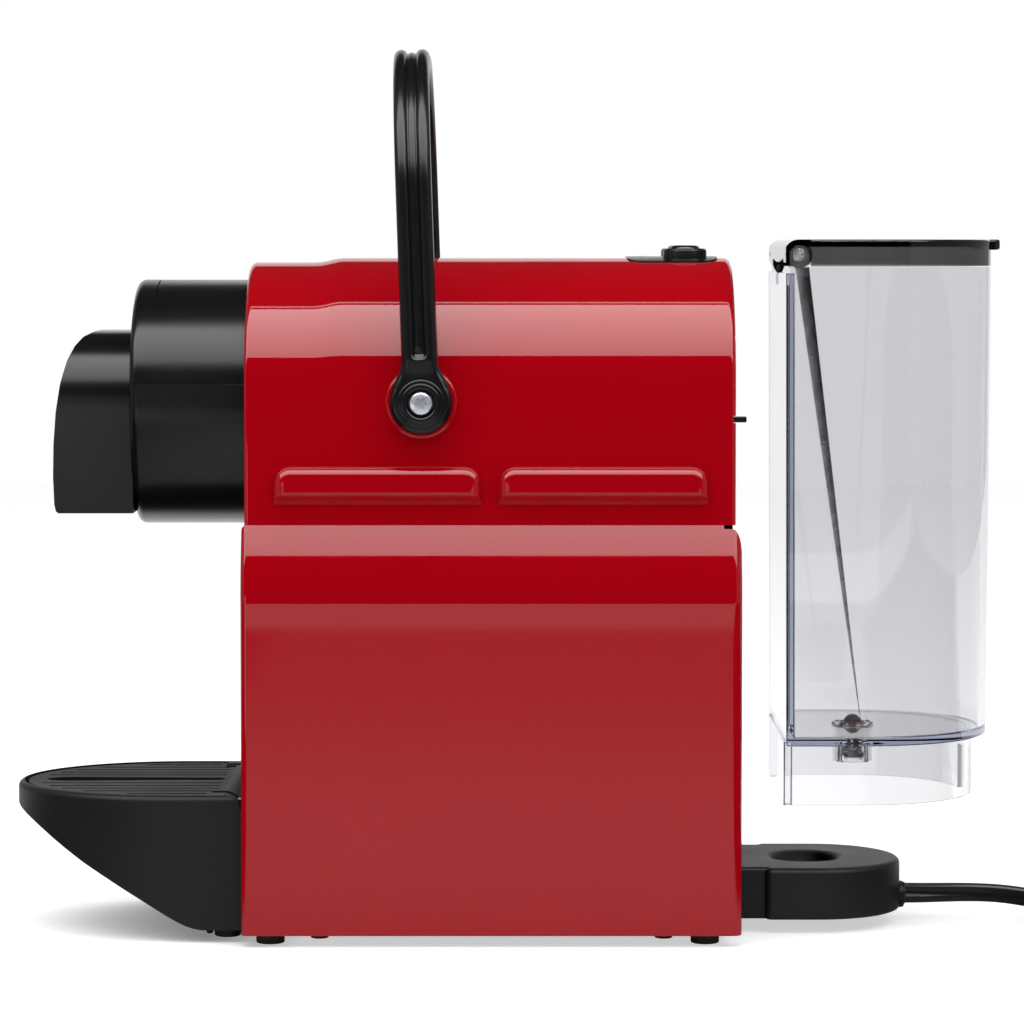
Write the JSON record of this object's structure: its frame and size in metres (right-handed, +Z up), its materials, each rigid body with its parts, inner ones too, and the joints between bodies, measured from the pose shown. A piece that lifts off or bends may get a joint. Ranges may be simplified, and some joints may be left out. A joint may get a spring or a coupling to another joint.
{
  "type": "espresso machine",
  "caption": "Compact capsule espresso machine with a gloss moulded housing, round brewing head, arched lever, fold-up drip tray, capsule drawer and lift-off water tank.",
  "frame": {"origin": "on the table, below the middle of the machine's bounding box, without the power cord", "axes": "+X to the rear, +Z up; the front with the spout faces -X"},
  "size_m": [0.4344, 0.1745, 0.3011],
  "materials": {
    "red_gloss": "gloss",
    "black_satin": "satin",
    "black_gloss": "gloss",
    "rubber_black": "matt",
    "rubber_seal": "matt",
    "cord_black": "satin",
    "steel": "brushed",
    "zinc": "bright",
    "cast_aluminium": "cast",
    "grey_plastic": "satin",
    "white_plastic": "satin",
    "board_green": "satin",
    "brass": "bright",
    "tank_clear": "clear moulded plastic",
    "lid_smoke": "smoked moulded plastic"
  },
  "bodies": {
    "machine": {"left_housing": "red_gloss", "right_housing": "red_gloss", "rear_panel": "black_satin", "control_panel": "black_satin", "drawer_bezel": "black_satin", "base_plate": "grey_plastic", "feet": "rubber_black", "housing_screws": "zinc", "tank_base": "black_satin", "valve_socket_seal": "rubber_black", "head_upper_cover": "black_satin", "head_lower_cover": "black_satin", "spout_cover": "black_satin", "coffee_spout": "grey_plastic", "outlet_plate": "steel", "brew_frame_left": "steel", "brew_frame_right": "steel", "capsule_chute": "grey_plastic", "thermoblock": "cast_aluminium", "thermostat": "steel", "thermal_fuse": "brass", "pump": "grey_plastic", "pump_mounts": "rubber_black", "flow_meter": "white_plastic", "inlet_hose": "white_plastic", "pump_hose": "white_plastic", "pressure_hose": "white_plastic", "brew_hose": "white_plastic", "control_board": "board_green", "button_switches": "grey_plastic", "strain_relief": "cord_black", "power_cord": "cord_black", "cord_coil": "cord_black", "cord_tail": "cord_black", "power_plug": "black_satin"},
    "lever": {"lever_handle": "black_satin", "lever_shaft": "steel", "cam_plates": "steel", "lever_screws": "zinc"},
    "cage": {"capsule_cage": "cast_aluminium", "cage_seal": "rubber_black", "piercing_blades": "steel", "cage_pins": "steel"},
    "shutter": {"slot_shutter": "black_satin"},
    "espresso_key": {"espresso_button": "black_gloss"},
    "lungo_key": {"lungo_button": "black_gloss"},
    "drawer": {"drawer_carrier": "black_satin", "tray_hinge_pin": "steel"},
    "bin": {"capsule_container": "black_satin"},
    "tray": {"drip_tray": "black_satin"},
    "grid": {"drip_grid": "black_satin"},
    "tank": {"water_tank": "tank_clear", "valve_guide": "tank_clear", "valve_spring": "steel"},
    "lid": {"tank_lid": "lid_smoke"},
    "valve": {"valve_plunger": "grey_plastic", "valve_seal": "rubber_seal"}
  },
  "joints": [
    {"name": "lever_swing", "type": "hinge", "parent": "machine", "child": "lever", "pos_m": [-0.0287, 0, 0.182], "axis": [0, 1, 0], "range_deg": [-72, 28]},
    {"name": "cage_slide", "type": "slide", "parent": "machine", "child": "cage", "axis": [1, 0, 0], "range_m": [-0.02016, 0.00784], "deforming": ["brew_hose"]},
    {"name": "shutter_slide", "type": "slide", "parent": "machine", "child": "shutter", "axis": [1, 0, 0], "range_m": [0, 0.029]},
    {"name": "espresso_press", "type": "slide", "parent": "machine", "child": "espresso_key", "axis": [0, 0, -1], "range_m": [0, 0.0008], "stiffness_N_per_m": 400},
    {"name": "lungo_press", "type": "slide", "parent": "machine", "child": "lungo_key", "axis": [0, 0, -1], "range_m": [0, 0.0008], "stiffness_N_per_m": 400},
    {"name": "drawer_pull", "type": "slide", "parent": "machine", "child": "drawer", "axis": [-1, 0, 0], "range_m": [0, 0.1]},
    {"name": "bin_lift", "type": "slide", "parent": "drawer", "child": "bin", "axis": [0, 0, 1], "range_m": [0, 0.014]},
    {"name": "tray_fold", "type": "hinge", "parent": "drawer", "child": "tray", "pos_m": [-0.0959, 0, 0.0432], "axis": [0, -1, 0], "range_deg": [-90, 0]},
    {"name": "grid_lift", "type": "slide", "parent": "tray", "child": "grid", "axis": [0, 0, 1], "range_m": [0, 0.04]},
    {"name": "tank_lift", "type": "slide", "parent": "machine", "child": "tank", "axis": [0.3535, 0, 0.9354], "range_m": [-0.04639, 0]},
    {"name": "lid_swing", "type": "hinge", "parent": "tank", "child": "lid", "pos_m": [0.0974, 0, 0.2312], "axis": [0, -1, 0], "range_deg": [0, 95]},
    {"name": "valve_lift", "type": "slide", "parent": "tank", "child": "valve", "axis": [0, 0, 1], "range_m": [0, 0.003], "stiffness_N_per_m": 150, "deforming": ["valve_spring"]}
  ],
  "couplings": [
    {"joint": "cage_slide", "follows": "lever_swing", "m_per_rad": 0.016043}
  ]
}
